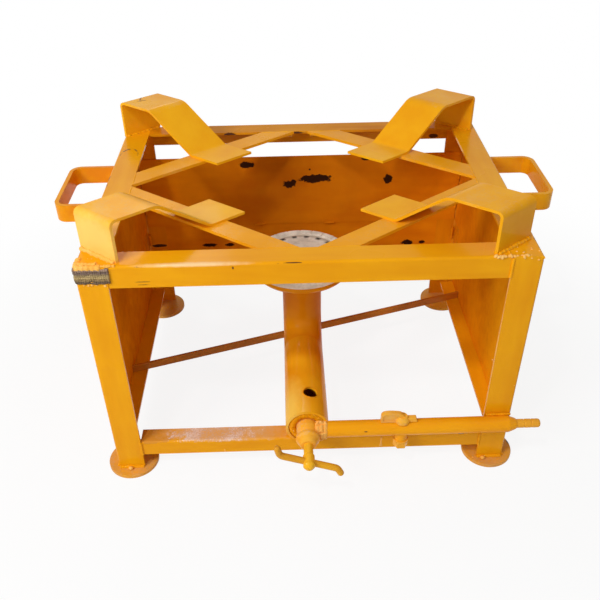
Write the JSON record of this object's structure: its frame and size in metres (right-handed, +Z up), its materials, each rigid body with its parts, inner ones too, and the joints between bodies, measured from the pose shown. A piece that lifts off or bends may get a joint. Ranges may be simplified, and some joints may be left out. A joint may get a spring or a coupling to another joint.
{
  "type": "propane burner stand",
  "caption": "Welded angle-iron gas burner stand with wind shields, sloping strap pot supports, carry handles, round capped burner, needle valve and gas pipe with a cock and hose barb.",
  "frame": {"origin": "on the floor under the middle of the whole outline", "axes": "+X to the right, towards the hose barb; +Y away from the valve, towards the closed back; +Z up"},
  "size_m": [0.5544, 0.4135, 0.33],
  "materials": {
    "enamel": "glossy brushed-on enamel, worn at edges",
    "shield_enamel": "glossy enamel with dark burnt chips",
    "gas_enamel": "glossy enamel over pipe and castings",
    "cap_iron": "bare, greyed by heat",
    "jet_brass": "turned"
  },
  "bodies": {
    "stand": {"leg_front_left": "enamel", "leg_front_right": "enamel", "leg_rear_left": "enamel", "leg_rear_right": "enamel", "foot_front_left": "enamel", "foot_front_right": "enamel", "foot_rear_left": "enamel", "foot_rear_right": "enamel", "top_rail_front": "enamel", "top_rail_rear": "enamel", "top_rail_left": "enamel", "top_rail_right": "enamel", "low_rail_front": "enamel", "low_rail_left": "enamel", "low_rail_right": "enamel", "brace_bar": "enamel", "grate_bar_front_left": "enamel", "grate_bar_front_right": "enamel", "grate_bar_rear_left": "enamel", "grate_bar_rear_right": "enamel", "pot_support_front_left": "enamel", "pot_support_front_right": "enamel", "pot_support_rear_left": "enamel", "pot_support_rear_right": "enamel", "carry_handle_left": "enamel", "carry_handle_right": "enamel", "shield_rear_upper": "shield_enamel", "shield_rear_lower": "shield_enamel", "shield_left_upper": "shield_enamel", "shield_left_lower": "shield_enamel", "shield_right_upper": "shield_enamel", "shield_right_lower": "shield_enamel", "mixing_tube": "gas_enamel", "burner_elbow": "gas_enamel", "end_plate": "gas_enamel", "gas_jet": "jet_brass", "burner_pot": "gas_enamel", "valve_body": "gas_enamel", "packing_nut": "gas_enamel", "gas_pipe": "gas_enamel", "hose_barb": "gas_enamel"},
    "spindle": {"valve_spindle": "gas_enamel", "tee_handle": "gas_enamel"},
    "cock": {"cock_plug": "gas_enamel", "cock_lever": "gas_enamel", "cock_washer": "gas_enamel", "cock_nut": "gas_enamel"},
    "cap": {"burner_cap": "cap_iron"}
  },
  "joints": [
    {"name": "valve_turn", "type": "hinge", "parent": "stand", "child": "spindle", "pos_m": [-0.0045, -0.2, 0.06765], "axis": [0, -1, 0], "range_deg": [0, 540]},
    {"name": "cock_turn", "type": "hinge", "parent": "stand", "child": "cock", "pos_m": [0.101, -0.14955, 0.078], "axis": [0, 0, 1], "range_deg": [0, 90]},
    {"name": "cap_lift", "type": "slide", "parent": "stand", "child": "cap", "axis": [0, 0, 1], "range_m": [0, 0.06]}
  ]
}
